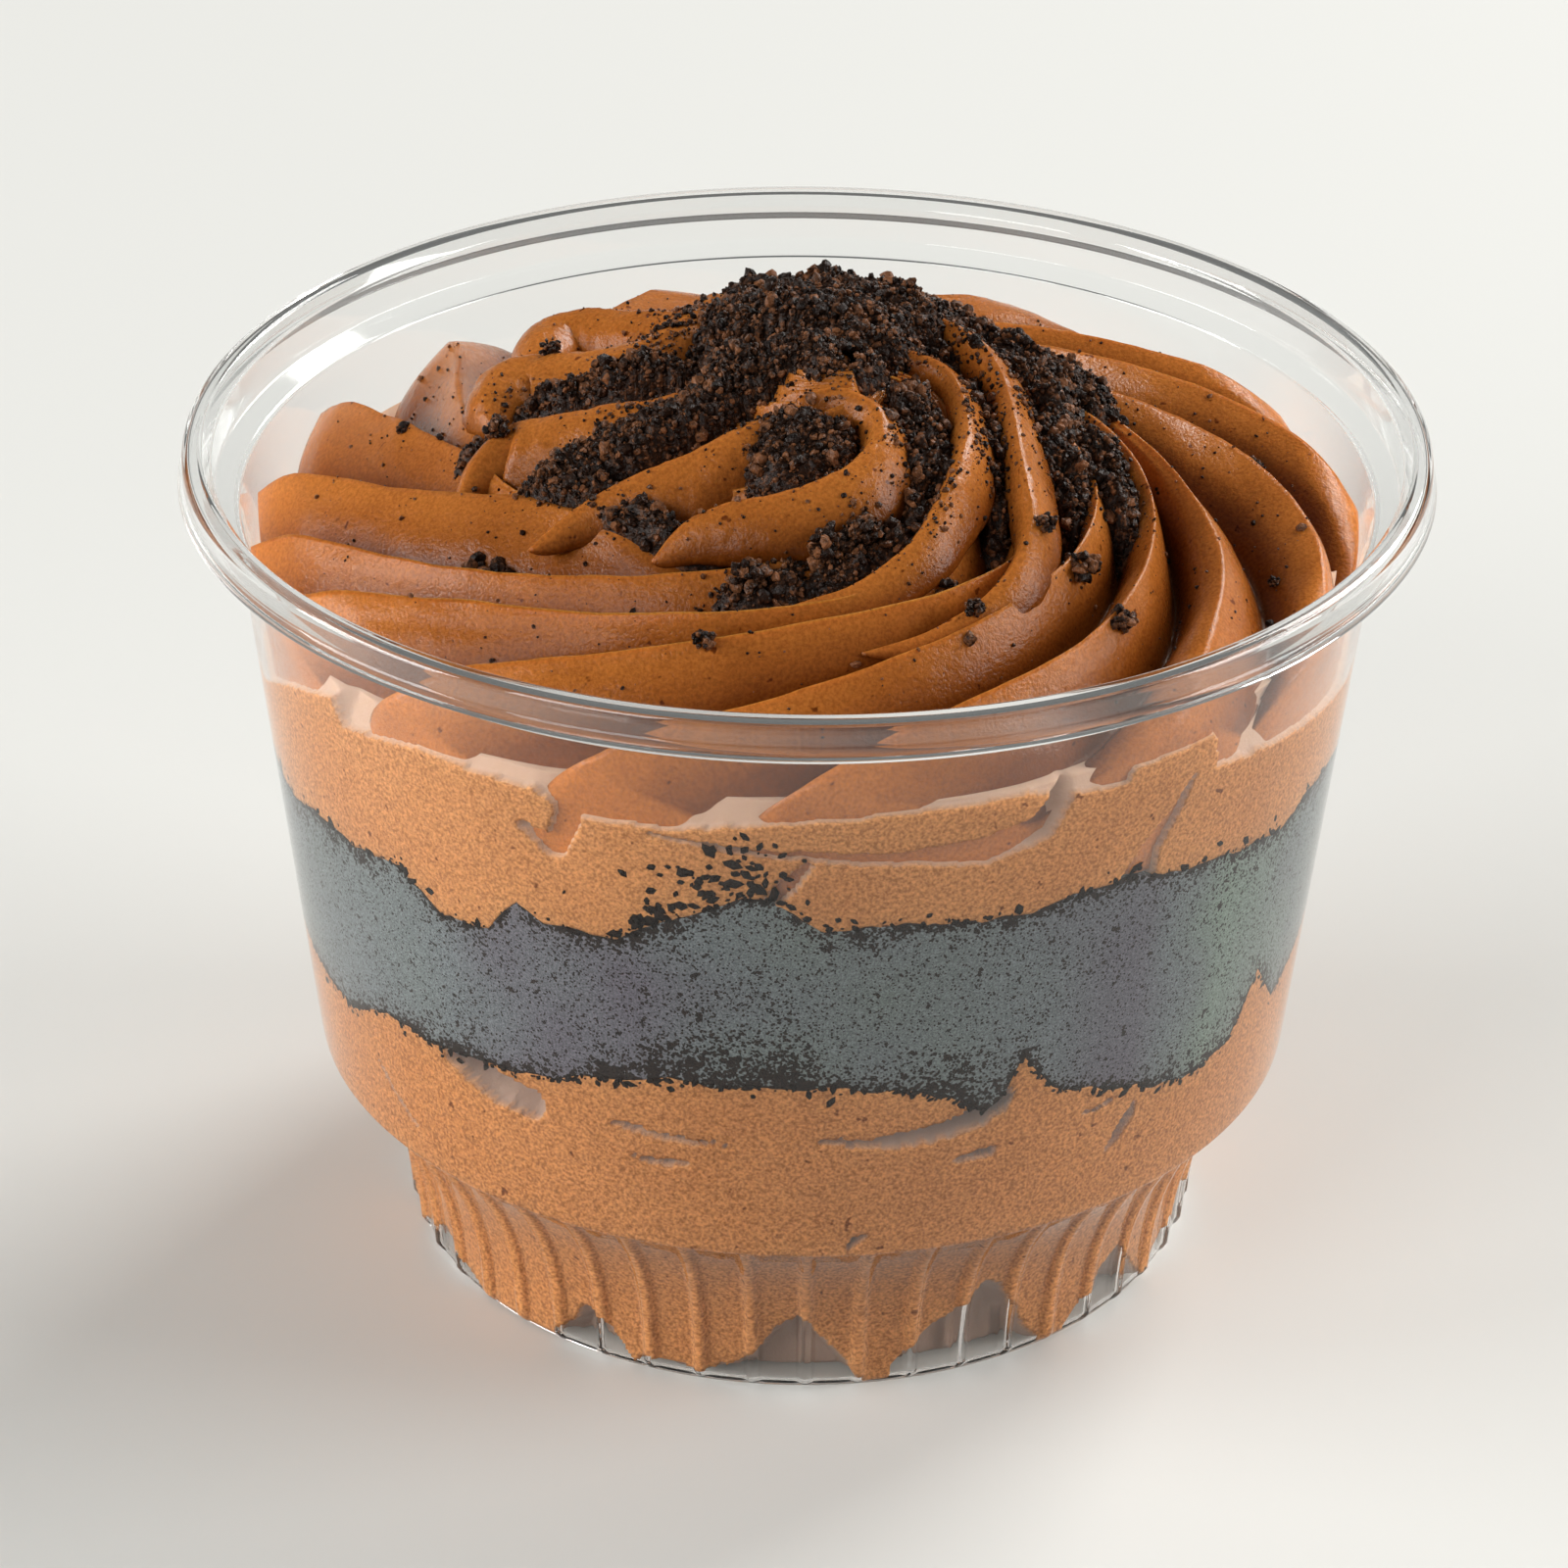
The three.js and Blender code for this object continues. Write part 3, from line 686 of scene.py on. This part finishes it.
def wallSolid(name, lowEdge, highEdge, rows, gapAt, touchAt, material, stands, lowLevel, highLevel):
    angle = np.arange(layers["columns"]) * 360 / layers["columns"]
    low, high = lowEdge(angle), highEdge(angle)
    rings = []
    for share in np.linspace(0, 1, rows):
        z = low + share * (high - low)
        radius = insideWall(z, angle) - gapAt(angle, z)
        rings.append(onCircle(angle, radius, z))
    for end, level, edgeRing in ((0, lowLevel, rings[0]), (1, highLevel, rings[-1])):
        extra = []
        for pull in (0.92, 0.6, 0.25):
            ring = edgeRing.copy()
            ring[:, :2] *= pull
            ring[:, 2] = level + (ring[:, 2] - level) * pull
            extra.append(ring)
        rings = extra[::-1] + rings if end == 0 else rings + extra
    points, faces = closedSolid(np.array(rings), [0, 0, lowLevel], [0, 0, highLevel])
    piece = addPiece(name, points, faces, material, stands)
    turn = np.mod(np.degrees(np.arctan2(points[:, 1], points[:, 0])), 360)
    gap = insideWall(points[:, 2], turn) - np.hypot(points[:, 0], points[:, 1])
    storeValues(piece, "touch", touchAt(turn, points[:, 2], gap))
    return piece


def nearWall(angle, z, gap):
    return 1 - smoothStep(0, 0.35, gap)


def lowerGap(angle, z):
    ragged = wiggle(angle, z, 0.25, 1.6, 21)
    hollow = hollowShare(lowerHollows, angle, z + ragged, 41) * layers["lowerDepth"]
    arch = smoothStep(0, 2.2, aroundWall(baseArches, angle + 2 * ragged) - z + ragged) * layers["archDepth"]
    inHollow = np.where(hollow > 0, layers["openGap"] + hollow, -layers["embed"])
    return np.where(arch > 0, np.maximum(layers["openGap"] + arch, inHollow), inHollow)


def mousseBottom(angle):
    return layers["bottom"] + 0 * angle


def crumbBottom(angle):
    return aroundWall(crumbBottomEdge, angle) + wiggle(angle, 30 + 0 * angle, 0.35, 1.7, 41)


def crumbTop(angle):
    return aroundWall(crumbTopEdge, angle) + wiggle(angle, 47 + 0 * angle, 0.3, 1.5, 42)


def bandTop(angle):
    return layers["bandTop"] + 0 * angle


def makeLowerMousse():
    wallSolid(
        "lowerMousse", mousseBottom, crumbBottom, layers["lowerRows"], lowerGap, nearWall,
        lowerMousse, ["lower_mousse"], layers["bottom"], layers["crumbFrom"],
    )


def crumbGap(angle, z):
    place = onCircle(angle, insideWall(z, angle), z)
    return 0.03 * lumps(place, 0.5, 52) - layers["embed"]


def crumbTouch(angle, z, gap):  # the higher, the more of the wall the crumbs touch
    place = onCircle(angle, insideWall(z, angle), z)
    above = np.clip(z - aroundWall(crumbBottomEdge, angle) + 0.3 * lumps(place, 1.7, 58), 0, None)
    below = np.clip(aroundWall(crumbTopEdge, angle) - z + 0.3 * lumps(place, 1.7, 59), 0, None)
    blotch = np.zeros_like(z)
    for middle, width, height in layers["blotches"]:
        blotch = np.maximum(blotch, height * np.exp(-((angle - middle) / width) ** 2))
    blotch = blotch * (1 + 0.5 * lumps(place, 4, 53))
    low = 0.21 * np.exp(-above / (0.7 + 1.1 * blotch))
    high = 0.2 * np.exp(-below / (0.5 + 0.5 * (1 + lumps(place, 3, 55))))
    patchy = 0.015 * lumps(place, 7, 57) + 0.045 * lumps(place, 1.2, 60) * (low + high > 0.04)
    return 0.385 + patchy + low + high


# tint of the painted grey haze round the wall, from violet at 0 through grey to green at 1
paintedHazeTint = [
    (0, 0.5), (120, 0.4), (225, 0.5), (237, 0.25), (252, 0.15), (262, 0.45), (285, 0.55), (300, 0.3),
    (308, 0.2), (320, 0.8), (328, 0.75), (340, 0.5),
]


def makeCrumbLayer():
    layer = wallSolid(
        "crumbLayer", crumbBottom, crumbTop, layers["crumbRows"], crumbGap, crumbTouch,
        packedBiscuit, ["crumb_layer"], layers["crumbFrom"], layers["crumbTo"],
    )
    points = np.array([v.co for v in layer.data.vertices]) / mm
    turn = np.mod(np.degrees(np.arctan2(points[:, 1], points[:, 0])), 360)
    tint = aroundWall(paintedHazeTint, turn) + 0.15 * lumps(points, 6, 67)
    storeValues(layer, "tint", tint)


def upperGap(angle, z):
    ragged = wiggle(angle, z, 0.12, 1.4, 31)
    hollow = hollowShare(upperHollows, angle, z + ragged, 44) * layers["upperDepth"]
    over = z - aroundWall(contactTopEdge, angle) + ragged
    above = np.where(over > 0, layers["openGap"] + np.minimum(0.5 * over, 1.6), -layers["embed"])
    return np.where(hollow > 0, np.maximum(layers["openGap"] + hollow, above), above)


def makeUpperBand():
    wallSolid(
        "upperMousseSide", crumbTop, bandTop, layers["upperRows"], upperGap, nearWall,
        upperMousse, [], layers["crumbTo"], layers["bandMiddle"],
    )


# drifts of crumbs over the swirl: plan centre, half lengths, turn in degrees, and fill over the crests
crumbDrifts = [
    (1.5, 8, 8.8, 8.6, 0, 3.7), (-2.5, 13, 5, 5, 0, 3), (8, 10, 6, 4.5, -20, 2.4),
    (-14, 1.5, 7.5, 1.8, -8, 1),
    (-12, -10.5, 7, 2.3, 12, 1.1), (-18.5, -14, 4, 1.5, -30, 0.2), (-25, -3.5, 2.5, 1.6, 0, -0.3),
    (-12, -20.3, 5, 1, -30, -0.3), (-0.5, -16.8, 3.7, 3.6, 0, 0.5), (0, -27.3, 6, 1.7, 8, -0.7),
    (-4, -28.5, 2.5, 1.2, 0, -0.9), (5, -24.5, 3.5, 2, 20, -0.3), (-3, -6, 5, 3.4, 0, 2),
    (8.6, -15.5, 2.2, 8, 4, -0.3),
    (5, 0, 5, 2.6, 25, 1.4), (2.4, -8.6, 3, 2.4, 0, 1.9), (13.6, -10, 1.5, 10, 5, -0.6),
    (17, 4, 3.6, 6, 30, 1.2),
    (19, -5, 2.6, 9, 10, 0),
    (22.5, -8, 2, 6.5, 20, -0.6), (20, 5, 3.4, 6, 25, 0.1),
]
# a clump is (x, y, size), and no crumb reaches above the top
crumbs = {
    "bedColumns": 32, "bedSteps": 255, "bedInner": 0.9, "bedOuter": 33,
    "top": 80.95, "bigCount": 1500, "smallCount": 9800, "dustCount": 9500, "clumpGrains": 46,
    "clumps": (
        (-24.5, -18.6, 2.1), (-7.5, -33.9, 0.9), (20.8, -22.4, 1.4), (23.7, -27, 1.1), (12.6, -30.2, 0.8),
        (35.7, 7.6, 1), (10.4, -26.9, 1.1), (36.2, -12.3, 0.5), (17.9, -22.3, 0.9), (-32.3, 5.3, 0.5),
        (1.5, -25.6, 1.5), (4.4, -24.6, 1.2), (-4.2, -28, 1.6), (-26, -0.5, 1), (-24, -5.5, 1.1),
        (-20.5, 8, 0.9),
    ),
}


def driftFill(x, y):
    best = np.full(np.shape(x), -9.0)
    for cx, cy, halfX, halfY, turn, fill in crumbDrifts:
        c, s = math.cos(math.radians(turn)), math.sin(math.radians(turn))
        u, v = (x - cx) * c + (y - cy) * s, (y - cy) * c - (x - cx) * s
        reach = np.sqrt((u / halfX) ** 2 + (v / halfY) ** 2)
        best = np.maximum(best, fill + 0.8 - 0.9 * reach ** 2 - 5 * np.clip(reach - 1, 0, None))
    return best


def bedHeight(column, radius):  # the crumbs' level over the swirl, and the swirl's own surface
    mousse = swirlPoint(column, radius)
    place = mousse.copy()
    place[..., 2] = 0
    heaps = 0.7 * lumps(place, 3.3, 61) + 0.6 * lumps(place, 1.6, 64)
    fill = driftFill(mousse[..., 0], mousse[..., 1]) + heaps
    rough = 0.55 * lumps(mousse, 1.6, 62) + 0.42 * lumps(mousse, 0.7, 63) + 0.26 * lumps(mousse, 0.36, 65)
    return crestHeight(radius) + fill + rough, mousse


def makeCrumbBed():
    columns = np.arange(ridgeCount * crumbs["bedColumns"]) / crumbs["bedColumns"]
    radii = np.geomspace(crumbs["bedOuter"], crumbs["bedInner"], crumbs["bedSteps"])
    radius = np.repeat(radii[:, None], len(columns), 1)
    level, mousse = bedHeight(np.repeat(columns[None], len(radii), 0), radius)
    rings = mousse.copy()
    rings[..., 2] = np.clip(level, mousse[..., 2] - 0.5, crumbs["top"] - 0.3)
    faces = ringFaces(len(radii), len(columns))
    shows = (level > mousse[..., 2] - 0.45).reshape(-1)
    faces = faces[shows[faces].any(axis=1)]
    used = np.unique(faces)
    renumber = np.zeros(rings.size // 3, int)
    renumber[used] = np.arange(len(used))
    points = rings.reshape(-1, 3)[used]
    bed = addPiece("crumbBed", points, renumber[faces].tolist(), biscuit)
    shade = 0.25 + 0.5 * lumps(points, 0.6, 66) ** 2
    storeValues(bed, "shade", shade)


def grainShape(seed, subdivisions):  # one rough grain about 1 across
    bpy.ops.object.select_all(action="DESELECT")
    bpy.ops.mesh.primitive_ico_sphere_add(subdivisions=subdivisions, radius=0.5)
    shape = bpy.context.object
    points = np.array([v.co for v in shape.data.vertices])
    triangles = np.array([p.vertices[:] for p in shape.data.polygons])
    bpy.data.objects.remove(shape)
    swell = 1 + 0.45 * lumps(points, 0.5, seed) + 0.3 * lumps(points, 0.24, seed + 40)
    return points * swell[:, None] * np.array([1, 0.85, 0.75]), triangles


def randomTurns(random, count):
    q = random.normal(size=(count, 4))
    q /= np.linalg.norm(q, axis=1)[:, None]
    w, x, y, z = q.T
    return np.stack([
        1 - 2 * (y * y + z * z), 2 * (x * y - w * z), 2 * (x * z + w * y),
        2 * (x * y + w * z), 1 - 2 * (x * x + z * z), 2 * (y * z - w * x),
        2 * (x * z - w * y), 2 * (y * z + w * x), 1 - 2 * (x * x + y * y),
    ], -1).reshape(-1, 3, 3)


def joinGrains(name, shapes, places, sizes, random, material):
    points, faces, shades, start = [], [], [], 0
    turns = randomTurns(random, len(places))
    for i, (place, size) in enumerate(zip(places, sizes)):
        shape, triangles = shapes[i % len(shapes)]
        points.append(shape @ turns[i].T * size + place)
        faces.append(triangles + start)
        shades += [random.uniform() ** 1.5] * len(shape)
        start += len(shape)
    piece = addPiece(name, np.vstack(points), np.vstack(faces).tolist(), material, flat=True)
    storeValues(piece, "shade", shades)


def topSurface(names):  # a search tree over the named pieces, in metres, and the last one's first face
    points, faces = [], []
    for name in names:
        mesh = bpy.data.objects[name].data
        start, firstFace = len(points), len(faces)
        points += [v.co.copy() for v in mesh.vertices]
        faces += [[start + i for i in p.vertices] for p in mesh.polygons]
    return BVHTree.FromPolygons(points, faces), firstFace


def scatter(surface, random, count, onBed, onMousse, low, high, power):
    tree, bedFace = surface
    places, sizes = [], []
    while len(places) < count:
        radius = 40 * math.sqrt(random.uniform())
        turn = random.uniform(0, 2 * math.pi)
        x, y = radius * math.cos(turn), radius * math.sin(turn)
        draw = random.uniform()
        fill = float(driftFill(np.array(x), np.array(y)))
        if draw > max(onBed, onMousse(fill)):
            continue
        spot, normal, face, distance = tree.ray_cast(Vector((x * mm, y * mm, 0.1)), Vector((0, 0, -1)))
        if spot is None or draw > (onBed if face >= bedFace else onMousse(fill)):
            continue
        size = low + (high - low) * random.uniform() ** power
        places.append((x, y, min(spot.z / mm + 0.2 * size, crumbs["top"] - 0.75 * size)))
        sizes.append(size)
    return np.array(places), np.array(sizes)


def makeLooseCrumbs():
    random = np.random.default_rng(7)
    surface = topSurface(["mousseSwirl", *lobes, "crumbBed"])
    big = [grainShape(70 + i, 2) for i in range(8)]
    small = [grainShape(80 + i, 1) for i in range(8)]
    few = lambda fill: 0.12 if fill > -0.8 else 0.003
    places, sizes = scatter(surface, random, crumbs["bigCount"], 0.9, few, 0.5, 1.3, 2.4)
    joinGrains("crumbGrains", big, places, sizes, random, biscuit)
    near = lambda fill: 0.3 * min(1, math.exp((fill + 0.4) / 1.1)) + 0.003
    places, sizes = scatter(surface, random, crumbs["smallCount"], 1, near, 0.28, 0.75, 1.2)
    joinGrains("crumbBits", small, places, sizes, random, biscuit)
    wide = lambda fill: 0.7 * min(1, math.exp((fill + 0.4) / 2.2)) + 0.03
    places, sizes = scatter(surface, random, crumbs["dustCount"], 0.8, wide, 0.12, 0.42, 2.2)
    joinGrains("crumbDust", small, places, sizes, random, biscuit)

    places, sizes = [], []
    for x, y, size in crumbs["clumps"]:
        z = surface[0].ray_cast(Vector((x * mm, y * mm, 0.1)), Vector((0, 0, -1)))[0].z / mm
        for i in range(crumbs["clumpGrains"]):
            away = random.normal(size=3)
            away *= size * random.uniform(0.55, 1) / np.linalg.norm(away)
            places.append([x + away[0], y + away[1], z + 0.5 * size + 0.75 * away[2]])
            sizes.append(size * random.uniform(0.35, 0.75))
    joinGrains("crumbClumps", big, np.array(places), np.array(sizes), random, biscuit)


def makeWallFlakes():  # crumbs pressed flat against the wall
    random = np.random.default_rng(11)
    spots, sizes = [], []

    def stick(angle, z, size):
        spots.append(onCircle(angle, insideWall(z, angle) + layers["embed"] + 0.03, z))
        sizes.append(size)

    while len(spots) < 1400:
        angle = random.uniform(0, 360)
        low, high = aroundWall(crumbBottomEdge, angle), aroundWall(crumbTopEdge, angle)
        z = random.choice((random.uniform(low - 1.2, low + 0.2), random.uniform(high - 0.2, high + 6)))
        smear = math.exp(-((angle - 260) / 7.5) ** 2)
        if z > high - 0.2:
            chance = 0.5 * math.exp(-abs(z - high) / 0.3) + 0.6 * smear * math.exp(-(z - high) / 3)
        else:
            chance = 0.25 * math.exp(-abs(z - low) / 0.22)
        if random.uniform() < chance:
            larger = 0.3 * random.uniform() ** 2 if z > high + 0.4 else 0
            stick(angle, z, 0.12 + 0.3 * random.uniform() ** 2 + larger)
    shape = grainShape(90, 1)
    points, faces, start = [], [], 0
    for spot, size in zip(spots, sizes):
        radial = np.array([spot[0], spot[1], 0]) / np.hypot(spot[0], spot[1])
        side = np.array([-radial[1], radial[0], 0])
        angle = math.degrees(math.atan2(radial[1], radial[0]))
        lean = (insideWall(spot[2] + 0.4, angle) - insideWall(spot[2] - 0.4, angle)) / 0.8
        rise = (radial * lean + [0, 0, 1]) / math.hypot(1, lean)
        twist = random.uniform(0, 2 * math.pi)
        c, s = math.cos(twist), math.sin(twist)
        stretch = random.uniform(0.6, 1.3)
        local = shape[0] * [size * stretch * 2, size * 2, 0.06]
        along = local[:, :1] * c - local[:, 1:2] * s
        up = local[:, :1] * s + local[:, 1:2] * c
        points.append(spot + along * side + up * rise + local[:, 2:] * radial)
        faces.append(shape[1] + start)
        start += len(shape[0])
    points, faces = np.vstack(points), np.vstack(faces).tolist()
    piece = addPiece("wallFlakes", points, faces, stuckBiscuit)
    storeValues(piece, "shade", np.full(start, 0.3))


studio = {
    "distance": 480, "elevation": 25.346, "tilt": 28.682, "pan": -0.215, "roll": 0.482, "lens": 139.95,
    "floor": 3.0, "floorColour": (0.74, 0.74, 0.715), "skyColour": (0.97, 1.0, 0.98), "sky": 0.16,
}


def makeCamera():
    raised = math.radians(studio["elevation"])
    rim = cup["height"] * mm
    reach = studio["distance"] * mm
    eye = Vector((0, -reach * math.cos(raised), rim + reach * math.sin(raised)))
    tilt, pan, roll = (math.radians(studio[k]) for k in ("tilt", "pan", "roll"))
    look = Vector((math.sin(pan) * math.cos(tilt), math.cos(pan) * math.cos(tilt), -math.sin(tilt)))
    right = Vector((math.cos(pan), -math.sin(pan), 0))
    up = right.cross(look)
    across = right * math.cos(roll) + up * math.sin(roll)
    upright = up * math.cos(roll) - right * math.sin(roll)
    camera = bpy.data.cameras.new("camera")
    camera.lens = studio["lens"]
    camera.sensor_width = 36
    camera.clip_start = 0.01
    view = bpy.data.objects.new("camera", camera)
    turn = Matrix((across, upright, -look)).transposed().to_4x4()
    view.matrix_world = Matrix.Translation(eye) @ turn
    bpy.context.scene.collection.objects.link(view)
    bpy.context.scene.camera = view


def addLamp(name, place, aim, size, power, colour):
    lamp = bpy.data.lights.new(name, "AREA")
    lamp.shape = "RECTANGLE"
    lamp.size, lamp.size_y = size
    lamp.energy = power
    lamp.color = colour
    holder = bpy.data.objects.new(name, lamp)
    holder.location = place
    holder.rotation_euler = (Vector(aim) - Vector(place)).to_track_quat("-Z", "Y").to_euler()
    bpy.context.scene.collection.objects.link(holder)


def makeStudio():
    bpy.ops.object.select_all(action="DESELECT")
    bpy.ops.mesh.primitive_plane_add(size=studio["floor"])
    floor = bpy.context.object
    floor.name = "floor"
    material, tree, shader = newMaterial("floorPaper")
    shader.inputs["Base Color"].default_value = (*studio["floorColour"], 1)
    shader.inputs["Roughness"].default_value = 0.7
    floor.data.materials.append(material)
    world = bpy.data.worlds.new("studio")
    world.use_nodes = True
    world.node_tree.nodes["Background"].inputs["Color"].default_value = (*studio["skyColour"], 1)
    world.node_tree.nodes["Background"].inputs["Strength"].default_value = studio["sky"]
    bpy.context.scene.world = world
    addLamp("windowBack", (1.0, 1.2, 1.15), (0, 0, 0.05), (0.9, 0.75), 26.5, (1, 0.985, 0.96))
    addLamp("softRight", (1.5, -0.1, 0.7), (0, 0, 0.05), (0.8, 0.8), 16, (1, 1, 0.99))
    addLamp("softLeft", (-1.5, -0.2, 0.6), (0, 0, 0.05), (0.9, 0.7), 18, (1, 1, 0.99))
    addLamp("softFront", (-1.0, -1.2, 0.9), (0, 0, 0.05), (0.8, 0.7), 9, (1, 1, 0.99))
    bpy.context.scene.view_settings.view_transform = "Standard"


makeCamera()
makeStudio()
print("studio ready")
makeCup()
makeLowerMousse()
makeCrumbLayer()
makeUpperBand()
makeSwirl()
makeLobes()
makeCrumbBed()
makeLooseCrumbs()
makeWallFlakes()
print("pieces ready")
